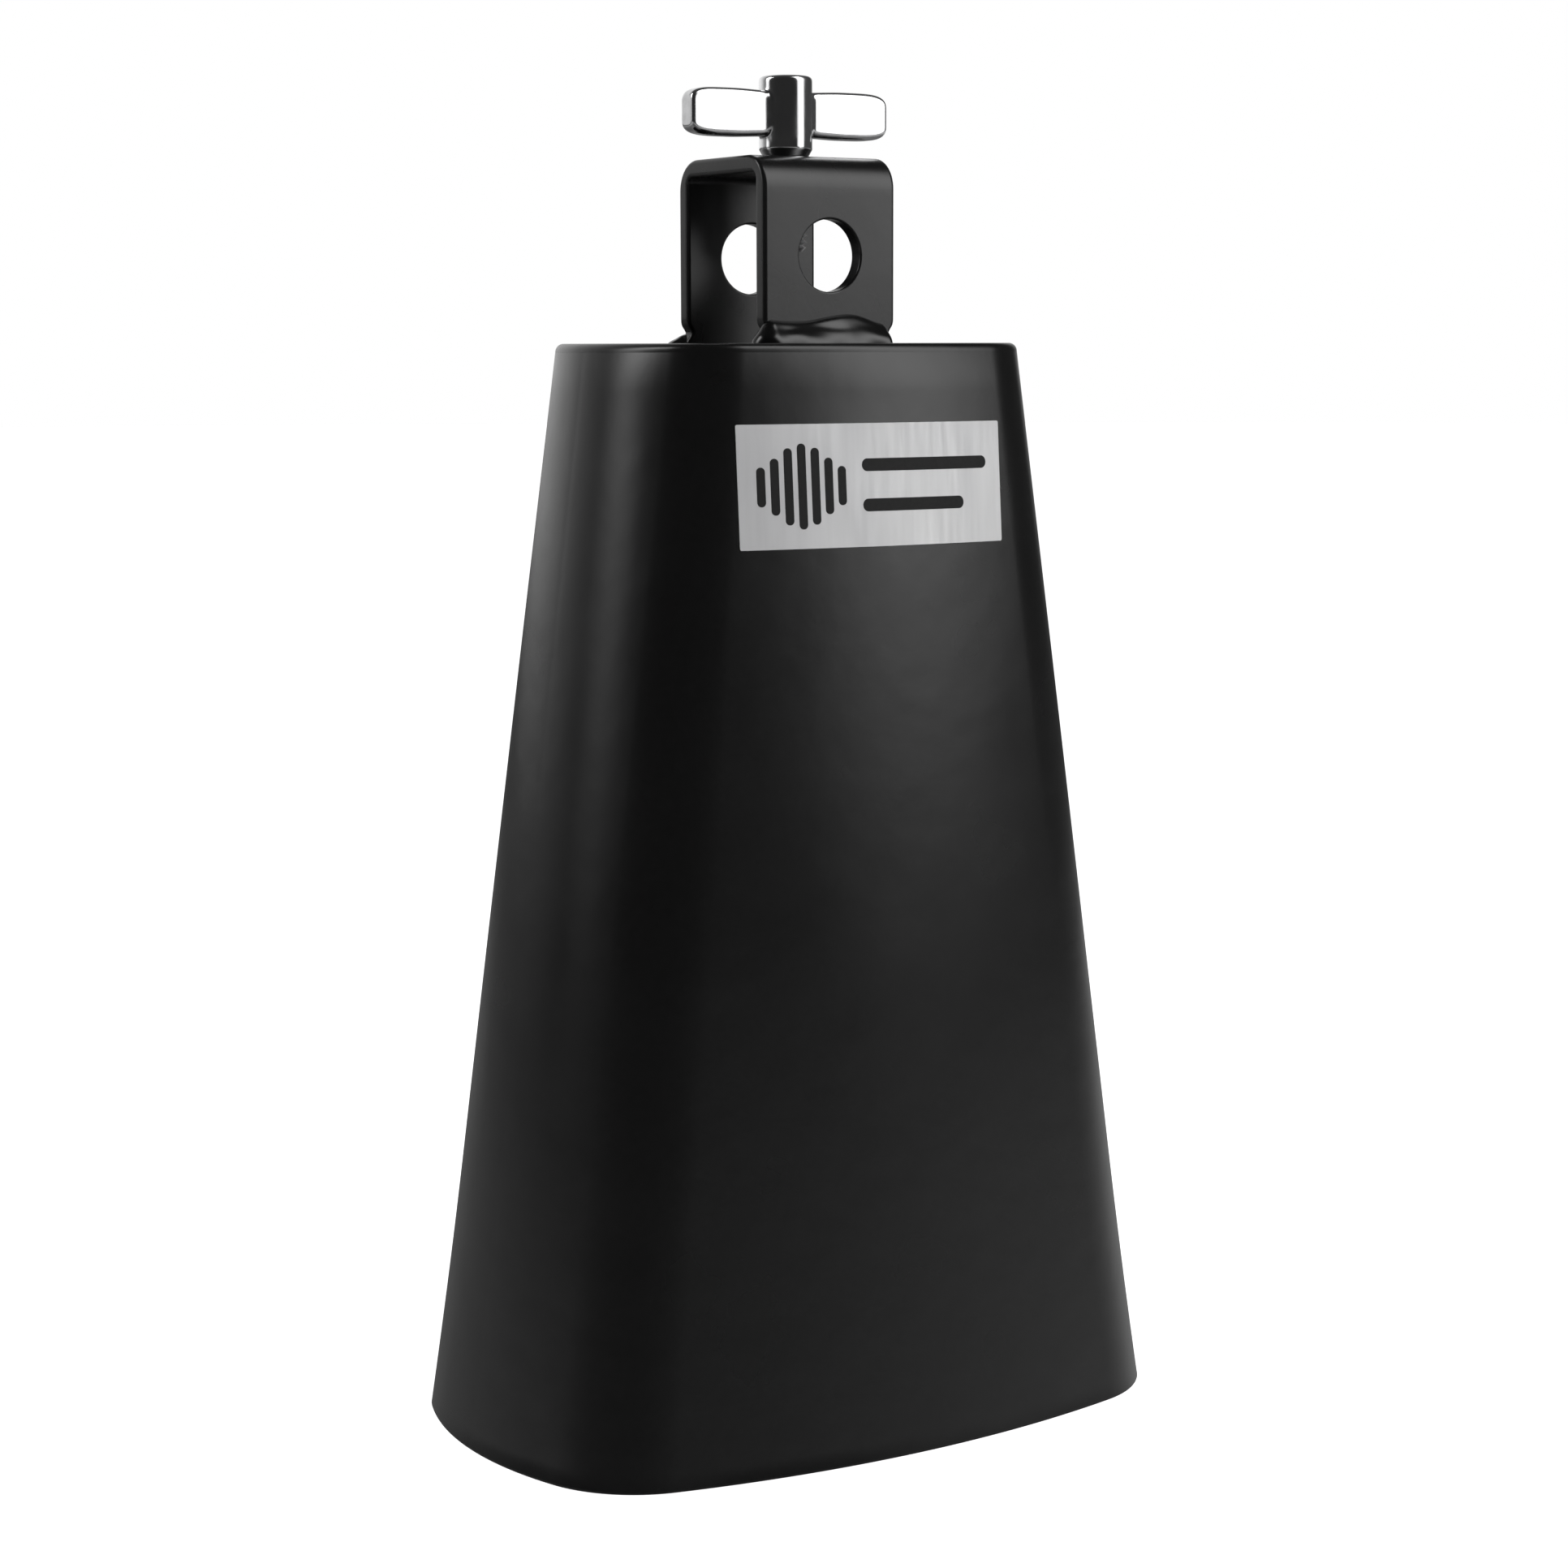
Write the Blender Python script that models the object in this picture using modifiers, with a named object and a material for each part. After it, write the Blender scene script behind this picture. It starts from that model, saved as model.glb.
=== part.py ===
"""A cowbell for a drum kit, standing on its mouth: metres, +Z up, origin at the middle of the mouth.

Two pressed half shells meet along the middle of the narrow sides and are closed by a crown plate.
A bent strap welded to the crown clamps onto a mounting rod with a wing screw. X runs across the
wide faces, the badge is on the -Y face, and pieces that touch on the real bell keep GAP apart.
"""

import math
from collections import namedtuple

import bmesh
import bpy
from mathutils import Vector
from mathutils.geometry import intersect_sphere_sphere_2d

MM = 0.001
GAP = 0.3 * MM

# The bell's outline at any height is an oval of arcs: two wide faces, two narrow sides, four corners.
Oval = namedtuple("Oval", "half_width half_depth face_radius side_radius corner_radius")
MOUTH = Oval(68.9 * MM, 45.2 * MM, 210.0 * MM, 74.0 * MM, 23.0 * MM)
CROWN = Oval(42.9 * MM, 31.0 * MM, 202.0 * MM, 45.0 * MM, 15.0 * MM)
BELL_HEIGHT = 203.0 * MM
WALL = 1.4 * MM
FLARE = 0.7 * MM
FLARE_HEIGHT = 50.0 * MM
CROWN_PLATE = 1.6 * MM
CROWN_EDGE_RADIUS = 1.3 * MM

# Bracket: a strap bent into an upside-down U that is open along X.
STRAP_WIDTH = 28.4 * MM
STRAP_THICKNESS = 3.2 * MM
BRACKET_DEPTH = 31.0 * MM
BRACKET_HEIGHT = 33.7 * MM
BEND_RADIUS = 6.0 * MM
STRAP_EDGE_RADIUS = 0.6 * MM
ROD_HOLE_RADIUS = 6.6 * MM
ROD_HOLE_HEIGHT = 15.9 * MM

# Wing screw, M8. Heights are above the bracket's top face, where the hub rests.
SCREW_RADIUS = 3.9 * MM
SCREW_LENGTH = 17.0 * MM
SCREW_TIP_CHAMFER = 0.9 * MM
SCREW_HOLE_RADIUS = SCREW_RADIUS + GAP
NECK_RADIUS = 2.7 * MM
NECK_LENGTH = 7.0 * MM
HUB_RADIUS = 5.0 * MM
HUB_HEIGHT = 15.4 * MM
HUB_TOP_ROUND = 0.8 * MM
HUB_FOOT_RADIUS = 4.2 * MM
HUB_FOOT_HEIGHT = 1.5 * MM
WING_SPAN = 43.0 * MM
WING_HEIGHT = 8.8 * MM
WING_THICKNESS = 4.2 * MM
WING_CENTRE_HEIGHT = 8.2 * MM
WING_EDGE_RADIUS = 1.5 * MM

# Weld beads. The outer ones lie along the feet of the bracket, the others are inside the bell.
BEAD_HEIGHT = 3.7 * MM
BEAD_REACH = 3.6 * MM
BEAD_RIPPLE = 0.45 * MM
BEAD_RIPPLES = 2.5
BEAD_LEFT = 2.6 * MM
BEAD_RIGHT = 0.6 * MM
BEAD_END_SIZE = 0.35
BEAD_END_POWER = 6
SEAM_BEAD_WIDTH = 4.0 * MM
SEAM_BEAD_HEIGHT = 1.1 * MM
SEAM_BEAD_START = 8.0 * MM
SEAM_BEAD_END = 196.0 * MM
CROWN_BEAD_RADIUS = 1.1 * MM

BADGE_WIDTH = 56.3 * MM
BADGE_HEIGHT = 22.1 * MM
BADGE_CENTRE_X = -0.9 * MM
BADGE_CENTRE_Z = 177.7 * MM
BADGE_THICKNESS = 0.3 * MM

# How finely round shapes are divided.
SIDE_STEPS = 5
CORNER_STEPS = 10
FACE_STEPS = 8
FLARE_STEPS = 4
EDGE_STEPS = 4
BEND_STEPS = 8
BEAD_STEPS = 24
BEAD_SECTION_STEPS = 6
SEAM_SECTION_POINTS = 10
BADGE_STEPS = 12
TURN_STEPS = 32
HOLE_STEPS = 40

CROWN_TOP = BELL_HEIGHT
BRACKET_TOP = CROWN_TOP + GAP + BRACKET_HEIGHT


def clear_scene():
    for obj in list(bpy.data.objects):
        bpy.data.objects.remove(obj, do_unlink=True)


def new_collection(name):
    collection = bpy.data.collections.new(name)
    bpy.context.scene.collection.children.link(collection)
    return collection


def new_material(name, colour, roughness, metallic):
    material = bpy.data.materials.new(name)
    material.use_nodes = True
    shader = material.node_tree.nodes["Principled BSDF"]
    shader.inputs["Base Color"].default_value = (*colour, 1.0)
    shader.inputs["Roughness"].default_value = roughness
    shader.inputs["Metallic"].default_value = metallic
    material.diffuse_color = (*colour, 1.0)
    return material


def add_part(name, data, material):
    """Puts a mesh or a curve in the bell's collection as the sub-part of that name."""
    if not data.materials:
        data.materials.append(material)
    part = bpy.data.objects.new(name, data)
    PARTS.objects.link(part)
    return part


def add_cutter(name, radius, length):
    """A cylinder along Z, centred on its origin, for a Boolean to cut with."""
    bm = bmesh.new()
    bmesh.ops.create_cone(bm, cap_ends=True, segments=HOLE_STEPS, radius1=radius, radius2=radius, depth=length)
    return helper_from(bm, name)


def helper_from(bm, name):
    """Turns a bmesh into a hidden helper object among the cutters."""
    mesh = bpy.data.meshes.new(name)
    bm.to_mesh(mesh)
    bm.free()
    helper = bpy.data.objects.new(name, mesh)
    helper.hide_render = True
    helper.display_type = "WIRE"
    CUTTERS.objects.link(helper)
    return helper


def add_boolean(part, operation, other):
    boolean = part.modifiers.new(other.name, "BOOLEAN")
    boolean.operation = operation
    boolean.solver = "EXACT"
    boolean.object = other


def smooth(mesh, sharp_angle=math.radians(35.0)):
    mesh.shade_smooth()
    mesh.set_sharp_from_angle(angle=sharp_angle)


def loft(name, rings):
    """A closed mesh through rings of equally many points, each end closed from one side to the other."""
    bm = bmesh.new()
    rows = [[bm.verts.new(point) for point in ring] for ring in rings]
    for low, high in zip(rows, rows[1:]):
        for i in range(len(low)):
            bm.faces.new((low[i - 1], low[i], high[i], high[i - 1]))
    for row in (rows[0], rows[-1]):
        for i in range(len(row) // 2 - 1):
            bm.faces.new((row[i], row[i + 1], row[-2 - i], row[-1 - i]))
    bmesh.ops.recalc_face_normals(bm, faces=bm.faces)
    mesh = bpy.data.meshes.new(name)
    bm.to_mesh(mesh)
    bm.free()
    smooth(mesh)
    return mesh


def bell_oval(z, inset=0.0):
    """The bell's outer outline at height z, drawn in all round by inset."""
    up = z / BELL_HEIGHT
    flare = FLARE * max(0.0, 1.0 - z / FLARE_HEIGHT) ** 2
    return Oval(*(low + (high - low) * up + flare - inset for low, high in zip(MOUTH, CROWN)))


def arc(centre, radius, start, end, steps):
    """Points along an arc, without its last one."""
    angles = [start + (end - start) * i / steps for i in range(steps)]
    return [centre + radius * Vector((math.cos(angle), math.sin(angle))) for angle in angles]


def quarter_outline(oval):
    """Points from the middle of the +X side to just before the middle of the +Y face."""
    face = Vector((0.0, oval.half_depth - oval.face_radius))
    side = Vector((oval.half_width - oval.side_radius, 0.0))
    crossings = intersect_sphere_sphere_2d(
        face, oval.face_radius - oval.corner_radius, side, oval.side_radius - oval.corner_radius
    )
    corner = max(crossings, key=lambda point: point.x + point.y)
    side_end = math.atan2(corner.y - side.y, corner.x - side.x)
    face_start = math.atan2(corner.y - face.y, corner.x - face.x)
    return (
        arc(side, oval.side_radius, 0.0, side_end, SIDE_STEPS)
        + arc(corner, oval.corner_radius, side_end, face_start, CORNER_STEPS)
        + arc(face, oval.face_radius, face_start, math.pi / 2, FACE_STEPS)
    )


def half_outline(oval):
    """Points from the middle of the +X side round by the +Y face to the middle of the -X side."""
    quarter = quarter_outline(oval)
    middle = [Vector((0.0, oval.half_depth))]
    return quarter + middle + [Vector((-point.x, point.y)) for point in reversed(quarter)]


def full_outline(oval):
    half = half_outline(oval)[:-1]
    return half + [-point for point in half]


def at_height(points, z):
    return [Vector((point.x, point.y, z)) for point in points]


def build_half_shells():
    top = CROWN_TOP - CROWN_PLATE - GAP
    levels = [FLARE_HEIGHT * i / FLARE_STEPS for i in range(FLARE_STEPS + 1)] + [top / 2, top]
    rings = []
    for z in levels:
        inner = half_outline(bell_oval(z, inset=WALL))
        rings.append(at_height(half_outline(bell_oval(z)) + inner[::-1], z))
    mesh = loft("half_shell", rings)
    paint = new_material("shell_paint", (0.012, 0.012, 0.013), 0.42, 0.0)
    back = add_part("back_half_shell", mesh, paint)
    back.location.y = GAP / 2
    front = add_part("front_half_shell", mesh, paint)
    front.location.y = -GAP / 2
    front.rotation_euler.z = math.pi


def build_seam_welds():
    """The bead inside each seam, where the two half shells meet."""
    rings = []
    lowest = [SEAM_BEAD_START + (FLARE_HEIGHT - SEAM_BEAD_START) * i / FLARE_STEPS for i in range(FLARE_STEPS)]
    for z in lowest + [FLARE_HEIGHT, SEAM_BEAD_END]:
        wall_x = bell_oval(z, inset=WALL + GAP).half_width
        ring = []
        for i in range(SEAM_SECTION_POINTS):
            angle = math.pi * (i / (SEAM_SECTION_POINTS - 1) - 0.5)
            x = wall_x - SEAM_BEAD_HEIGHT * math.cos(angle)
            ring.append((x, SEAM_BEAD_WIDTH / 2 * math.sin(angle), z))
        rings.append(ring)
    mesh = loft("seam_weld", rings)
    paint = new_material("seam_weld_paint", (0.014, 0.014, 0.015), 0.5, 0.0)
    add_part("right_seam_weld", mesh, paint)
    left = add_part("left_seam_weld", mesh, paint)
    left.rotation_euler.z = math.pi


def build_crown_plate():
    """The plate that closes the bell's top, flush with the wall and rounded at its upper edge."""
    bottom = CROWN_TOP - CROWN_PLATE
    rings = [at_height(full_outline(bell_oval(bottom)), bottom)]
    for i in range(EDGE_STEPS + 1):
        angle = math.pi / 2 * i / EDGE_STEPS
        z = CROWN_TOP - CROWN_EDGE_RADIUS * (1.0 - math.sin(angle))
        inset = CROWN_EDGE_RADIUS * (1.0 - math.cos(angle))
        rings.append(at_height(full_outline(bell_oval(z, inset)), z))
    paint = new_material("crown_paint", (0.012, 0.012, 0.013), 0.4, 0.0)
    add_part("crown_plate", loft("crown_plate", rings), paint)


def build_crown_weld():
    """The bead under the crown plate, all round the inside of the wall."""
    z = CROWN_TOP - CROWN_PLATE - GAP - CROWN_BEAD_RADIUS
    oval = bell_oval(z, inset=WALL + GAP + CROWN_BEAD_RADIUS)
    points = full_outline(oval)
    curve = bpy.data.curves.new("crown_weld", "CURVE")
    curve.dimensions = "3D"
    curve.bevel_depth = CROWN_BEAD_RADIUS
    curve.bevel_resolution = 2
    spline = curve.splines.new("POLY")
    spline.points.add(len(points) - 1)
    for spline_point, point in zip(spline.points, points):
        spline_point.co = (point.x, point.y, z, 1.0)
    spline.use_cyclic_u = True
    add_part("crown_weld", curve, new_material("crown_weld_paint", (0.014, 0.014, 0.015), 0.5, 0.0))


def strap_line():
    """The strap's outer line in the YZ plane, from one foot over the top to the other."""
    foot = Vector((BRACKET_DEPTH / 2, CROWN_TOP + GAP))
    bend = Vector((BRACKET_DEPTH / 2 - BEND_RADIUS, BRACKET_TOP - BEND_RADIUS))
    over = bend + Vector((0.0, BEND_RADIUS))
    half = [foot] + arc(bend, BEND_RADIUS, 0.0, math.pi / 2, BEND_STEPS) + [over]
    return half + [Vector((-point.x, point.y)) for point in reversed(half)]


def build_bracket():
    bm = bmesh.new()
    rows = []
    for x in (-STRAP_WIDTH / 2, STRAP_WIDTH / 2):
        rows.append([bm.verts.new((x, point.x, point.y)) for point in strap_line()])
    left, right = rows
    for i in range(len(left) - 1):
        bm.faces.new((left[i], left[i + 1], right[i + 1], right[i]))
    mesh = bpy.data.meshes.new("clamp_bracket")
    bm.to_mesh(mesh)
    bm.free()
    smooth(mesh)
    bracket = add_part("clamp_bracket", mesh, new_material("bracket_paint", (0.014, 0.014, 0.015), 0.4, 0.0))
    solidify = bracket.modifiers.new("thickness", "SOLIDIFY")
    solidify.thickness = STRAP_THICKNESS
    solidify.offset = -1.0
    solidify.use_even_offset = True
    bevel = bracket.modifiers.new("edges", "BEVEL")
    bevel.width = STRAP_EDGE_RADIUS
    bevel.segments = 2
    bevel.limit_method = "ANGLE"
    bevel.angle_limit = math.radians(60.0)
    rod_hole = add_cutter("rod_hole", ROD_HOLE_RADIUS, 2 * BRACKET_DEPTH)
    rod_hole.location.z = CROWN_TOP + ROD_HOLE_HEIGHT
    rod_hole.rotation_euler.x = math.pi / 2
    screw_hole = add_cutter("screw_hole", SCREW_HOLE_RADIUS, 4 * STRAP_THICKNESS)
    screw_hole.location.z = BRACKET_TOP
    add_boolean(bracket, "DIFFERENCE", rod_hole)
    add_boolean(bracket, "DIFFERENCE", screw_hole)


def bead_ring(x, side):
    """The section at x of the bead on one leg's foot: up the leg, out along the crown, bulging between."""
    low, high = -STRAP_WIDTH / 2 - BEAD_LEFT, STRAP_WIDTH / 2 + BEAD_RIGHT
    along = (x - low) / (high - low)
    end_size = BEAD_END_SIZE + (1.0 - BEAD_END_SIZE) * math.sqrt(
        max(0.0, 1.0 - (2.0 * along - 1.0) ** BEAD_END_POWER)
    )
    ripple = BEAD_RIPPLE * math.sin(2.0 * math.pi * BEAD_RIPPLES * along)
    height = end_size * (BEAD_HEIGHT + ripple)
    reach = end_size * (BEAD_REACH - ripple)
    leg_y, crown_z = BRACKET_DEPTH / 2 + GAP, CROWN_TOP + GAP
    ring = [(x, side * leg_y, crown_z)]
    for i in range(BEAD_SECTION_STEPS + 1):
        angle = math.pi / 2 * i / BEAD_SECTION_STEPS
        y = leg_y + reach * math.sin(angle)
        ring.append((x, side * y, crown_z + height * math.cos(angle)))
    return ring


def build_bracket_welds():
    low, high = -STRAP_WIDTH / 2 - BEAD_LEFT, STRAP_WIDTH / 2 + BEAD_RIGHT
    stations = [low + (high - low) * i / BEAD_STEPS for i in range(BEAD_STEPS + 1)]
    paint = new_material("bead_paint", (0.012, 0.012, 0.013), 0.35, 0.0)
    for name, side in (("front_bracket_weld", -1.0), ("rear_bracket_weld", 1.0)):
        add_part(name, loft(name, [bead_ring(x, side) for x in stations]), paint)


def turned(name, profile, material):
    """A solid of revolution about Z from (radius, height) points, top to bottom."""
    mesh = bpy.data.meshes.new(name)
    points = [(radius, 0.0, height) for radius, height in profile]
    mesh.from_pydata(points, [(i, i + 1) for i in range(len(points) - 1)], [])
    part = add_part(name, mesh, material)
    screw = part.modifiers.new("turn", "SCREW")
    screw.steps = TURN_STEPS
    screw.render_steps = TURN_STEPS
    screw.use_merge_vertices = True
    screw.merge_threshold = 0.01 * MM
    return part


def build_stud():
    """The threaded stud, drawn at its outside diameter, with the plain neck that the head is cast onto."""
    profile = [
        (0.0, NECK_LENGTH),
        (NECK_RADIUS, NECK_LENGTH),
        (NECK_RADIUS, 0.0),
        (SCREW_RADIUS, 0.0),
        (SCREW_RADIUS, SCREW_TIP_CHAMFER - SCREW_LENGTH),
        (SCREW_RADIUS - SCREW_TIP_CHAMFER, -SCREW_LENGTH),
        (0.0, -SCREW_LENGTH),
    ]
    stud = turned("threaded_stud", profile, new_material("stud_steel", (0.45, 0.45, 0.46), 0.3, 1.0))
    stud.location.z = BRACKET_TOP


def wing_bar():
    """Both wings as one bar with rounded edges, which the hub is joined to."""
    bm = bmesh.new()
    bmesh.ops.create_cube(bm, size=1.0)
    bmesh.ops.scale(bm, vec=(WING_SPAN, WING_THICKNESS, WING_HEIGHT), verts=bm.verts)
    bar = helper_from(bm, "wing_bar")
    bevel = bar.modifiers.new("edges", "BEVEL")
    bevel.width = WING_EDGE_RADIUS
    bevel.segments = 3
    return bar


def build_wing_head():
    """The cast head: a hub with two wings and a blind hole for the stud's neck."""
    foot = GAP
    profile = [
        (0.0, HUB_HEIGHT),
        (HUB_RADIUS - HUB_TOP_ROUND, HUB_HEIGHT),
        (HUB_RADIUS, HUB_HEIGHT - HUB_TOP_ROUND),
        (HUB_RADIUS, foot + HUB_FOOT_HEIGHT),
        (HUB_FOOT_RADIUS, foot),
        (0.0, foot),
    ]
    head = turned("wing_head", profile, new_material("head_chrome", (0.8, 0.8, 0.82), 0.12, 1.0))
    head.location.z = BRACKET_TOP
    bar = wing_bar()
    bar.location.z = BRACKET_TOP + WING_CENTRE_HEIGHT
    add_boolean(head, "UNION", bar)
    neck_hole = add_cutter("neck_hole", NECK_RADIUS + GAP, 2 * (NECK_LENGTH + GAP))
    neck_hole.location.z = BRACKET_TOP
    add_boolean(head, "DIFFERENCE", neck_hole)


def build_badge():
    """A thin foil plate that follows the curve of the front face."""
    rings = []
    for i in range(BADGE_STEPS + 1):
        x = BADGE_CENTRE_X + BADGE_WIDTH * (i / BADGE_STEPS - 0.5)
        ring = []
        for edge, offsets in ((-0.5, (GAP, GAP + BADGE_THICKNESS)), (0.5, (GAP + BADGE_THICKNESS, GAP))):
            z = BADGE_CENTRE_Z + edge * BADGE_HEIGHT
            for offset in offsets:
                oval = bell_oval(z, inset=-offset)
                centre_y = oval.half_depth - oval.face_radius
                y = centre_y + math.sqrt(oval.face_radius ** 2 - x ** 2)
                ring.append((x, -y - GAP / 2, z))
        rings.append(ring)
    add_part("badge", loft("badge", rings), new_material("badge_foil", (0.75, 0.75, 0.75), 0.25, 1.0))


clear_scene()
PARTS = new_collection("cowbell")
CUTTERS = new_collection("cutters")
build_half_shells()
build_seam_welds()
build_crown_plate()
build_crown_weld()
build_bracket()
build_bracket_welds()
build_stud()
build_wing_head()
build_badge()
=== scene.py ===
"""The looks of the cowbell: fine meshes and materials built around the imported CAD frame.

Lengths are in metres and angles in degrees unless a name says otherwise. X runs across the wide
faces, the badge is on the -Y face and +Z is up. Places come from the CAD nodes' boxes, and the
shapes between them from the named values below.
"""

import math
from collections import namedtuple

import bmesh
import bpy
from mathutils import Matrix, Vector, noise
from mathutils.geometry import intersect_sphere_sphere_2d


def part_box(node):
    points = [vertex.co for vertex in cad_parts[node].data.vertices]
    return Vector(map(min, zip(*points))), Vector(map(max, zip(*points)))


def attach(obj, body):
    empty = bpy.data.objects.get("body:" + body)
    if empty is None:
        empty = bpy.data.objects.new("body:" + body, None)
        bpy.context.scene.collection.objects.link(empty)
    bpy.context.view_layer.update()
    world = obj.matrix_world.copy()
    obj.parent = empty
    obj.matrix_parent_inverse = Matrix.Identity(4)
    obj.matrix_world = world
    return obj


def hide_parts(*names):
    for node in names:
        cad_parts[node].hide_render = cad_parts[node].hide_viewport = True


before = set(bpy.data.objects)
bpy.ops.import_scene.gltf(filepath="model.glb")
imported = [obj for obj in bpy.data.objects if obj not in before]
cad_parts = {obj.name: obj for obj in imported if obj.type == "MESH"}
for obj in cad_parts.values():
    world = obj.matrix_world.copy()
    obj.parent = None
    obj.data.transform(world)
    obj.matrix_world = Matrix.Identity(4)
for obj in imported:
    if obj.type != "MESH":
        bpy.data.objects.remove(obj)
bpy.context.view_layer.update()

MM = 0.001

# The bell's outline at any height is an oval of arcs: two wide faces, two narrow sides, four corners.
Oval = namedtuple("Oval", "half_width half_depth face_radius side_radius corner_radius")
MOUTH = Oval(68.9 * MM, 45.2 * MM, 210.0 * MM, 74.0 * MM, 23.0 * MM)
CROWN = Oval(42.9 * MM, 31.0 * MM, 202.0 * MM, 45.0 * MM, 15.0 * MM)
WALL = 1.4 * MM
FLARE = 0.7 * MM
FLARE_HEIGHT = 50.0 * MM
RIM_ROUND = 0.55 * MM
JOINT_ROUND = 0.01 * MM
CROWN_EDGE_RADIUS = 1.3 * MM
SEAM_DEPTH = 0.02 * MM
SEAM_WIDTH = 1.0 * MM
WAVE_DEPTH = 0.05 * MM
WAVE_LENGTH = 38.0 * MM
WAVE_FADE = 8.0 * MM

# The bracket's strap, with its edges and the two holes' edges softened by the coat.
STRAP_THICKNESS = 3.2 * MM
BEND_RADIUS = 6.0 * MM
INNER_BEND_RADIUS = 1.2 * MM
STRAP_EDGE_RADIUS = 0.8 * MM
ROD_HOLE_RADIUS = 6.6 * MM
ROD_HOLE_HEIGHT = 15.9 * MM
HOLE_EDGE_RADIUS = 0.4 * MM
FOOT_UNDERCUT = 1.0 * MM
FOOT_UNDERCUT_HEIGHT = 1.9 * MM
FOOT_UNDERCUT_REACH = 1.1 * MM
FOOT_SINK = 0.1 * MM
CUTTER_REACH = 5.0 * MM

# Wing screw, M8 with a 1.25 mm pitch. Heights are above the bracket's top face. The thread's crest and
# root are shares of half a pitch.
SCREW_RADIUS = 3.9 * MM
THREAD_PITCH = 1.25 * MM
THREAD_DEPTH = 0.7 * MM
THREAD_CREST = 0.16
THREAD_ROOT = 0.128
SCREW_TIP_RADIUS = 3.0 * MM
SCREW_HOLE_RADIUS = 4.05 * MM
NECK_RADIUS = 2.7 * MM
NECK_START = 0.25 * MM
NECK_OVERLAP = 2.0 * MM
HUB_RADIUS = 5.0 * MM
HUB_TOP_ROUND = 0.9 * MM
HUB_TOP_DOME = 0.25 * MM
HUB_TOP_FLAT = 0.6 * MM
HUB_FOOT_RADIUS = 4.25 * MM
HUB_FOOT_HEIGHT = 1.5 * MM
HUB_FOOT_EDGE = 0.15 * MM
HUB_SHOULDER_IN = 0.1 * MM
HUB_SHOULDER_DOWN = 0.2 * MM
WING_CENTRE_HEIGHT = 8.2 * MM
WING_HALF_HEIGHT = 4.4 * MM
WING_ROOT_HALF_HEIGHT = 4.15 * MM
WING_HALF_THICKNESS = 2.1 * MM
WING_ROOT_HALF_THICKNESS = 2.75 * MM
WING_ROOT_START = 4.0 * MM
WING_FILLET_END = 5.7 * MM
WING_BLEND_END = WING_FILLET_END + 0.5 * MM
WING_BLEND_LENGTH = 2.5 * MM
WING_WIDEST = 12.0 * MM
WING_EDGE_RADIUS = 1.0 * MM
WING_END_ROUND = 0.8 * MM
WING_END_THICKNESS = 0.45
WING_END_POWER = 4.6
WING_END_REACH = 2.0 * MM
WING_HUB_OVERLAP_START = 2.0 * MM
WING_PILLOW = 0.1 * MM
HEAD_VOXEL = 0.2 * MM

# Weld beads. The bracket's beads swell slowly along their length, with lumps and drawn-out streaks on them.
BEAD_REACH = 3.5 * MM
BEAD_RIGHT_HEIGHT = 3.6 * MM
BEAD_PEAK_X = 3.5 * MM
BEAD_PEAK_WIDTH = 6.0 * MM
BEAD_WRAP = 2.4 * MM
BEAD_CORNER = 0.8 * MM
BEAD_STOP = 1.2 * MM
BEAD_SINK = 0.35 * MM
BEAD_START_SIZE = 0.3
BEAD_END_SIZE = 0.55
BEAD_END_SHARE = 0.05
BEAD_HOLLOW = 0.14
BEAD_SWELL_LENGTH = 6.0 * MM
BEAD_SWELL_HEIGHT = 0.35 * MM
BEAD_SWELL_REACH = 0.4 * MM
BEAD_LUMP_LENGTH = 5.0 * MM
BEAD_LUMP_DEPTH = 0.22 * MM
BEAD_STREAK_WIDTH = 1.8 * MM
BEAD_STREAK_DEPTH = 0.1 * MM
BEAD_STREAK_STRETCH = 0.35
SEAM_BEAD_WIDTH = 4.0 * MM
SEAM_BEAD_HEIGHT = 1.1 * MM
SEAM_BEAD_SINK = 0.15 * MM
SEAM_BEAD_TAPER = 2.5 * MM
SEAM_BEAD_BOW = 0.9 * MM
CROWN_BEAD_RADIUS = 1.1 * MM
CROWN_BEAD_SWELL = 1.15
CROWN_BEAD_STEP = 0.45 * MM
BEAD_SCALE_LENGTH = 1.7 * MM
BEAD_SCALE_DEPTH = 0.16
BEAD_WANDER = 0.12
BEAD_WANDER_LENGTH = 9.0 * MM
BEAD_UNEVENNESS = 0.6
BEAD_UNEVENNESS_LENGTH = 5.0 * MM

# The badge's foil and its print.
FOIL_LIFT = 0.02 * MM
FOIL_THICKNESS = 0.14 * MM
FOIL_CORNER = 0.35 * MM
INK_THICKNESS = 0.02 * MM
INK_CORNER_CLEARANCE = 0.05 * MM
BARS = 7
BARS_MARGIN = 3.6 * MM
BAR_WIDTH = 1.7 * MM
BAR_PITCH = 2.7 * MM
BAR_HALF_HEIGHT = 3.2 * MM
BAR_SWELL = 4.4 * MM
BAR_SWELL_REACH = 3.6
RULE_GAP = 2.4 * MM
RULE_HEIGHT = 2.3 * MM
RULE_OFFSET = 3.6 * MM
UPPER_RULE_MARGIN = 3.4 * MM
LOWER_RULE_MARGIN = 9.0 * MM

# The camera. Its focal length and centre are in the pixels of a 1932 pixel square frame.
FRAME_PIXELS = 1932
CAMERA_AZIMUTH = -31.57
CAMERA_PITCH = 7.76
CAMERA_ROLL = -0.14
CAMERA_DISTANCE = 0.6084
CAMERA_HEIGHT = 0.2023
CAMERA_FOCAL_PIXELS = 3950.5
CAMERA_CENTRE_X = 970.0
SENSOR_WIDTH_MM = 36.0

# The floor glows a little as well, so that it stays white out to the horizon.
FLOOR_RADIUS = 8.0
FLOOR_GLOW = 0.97

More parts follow.
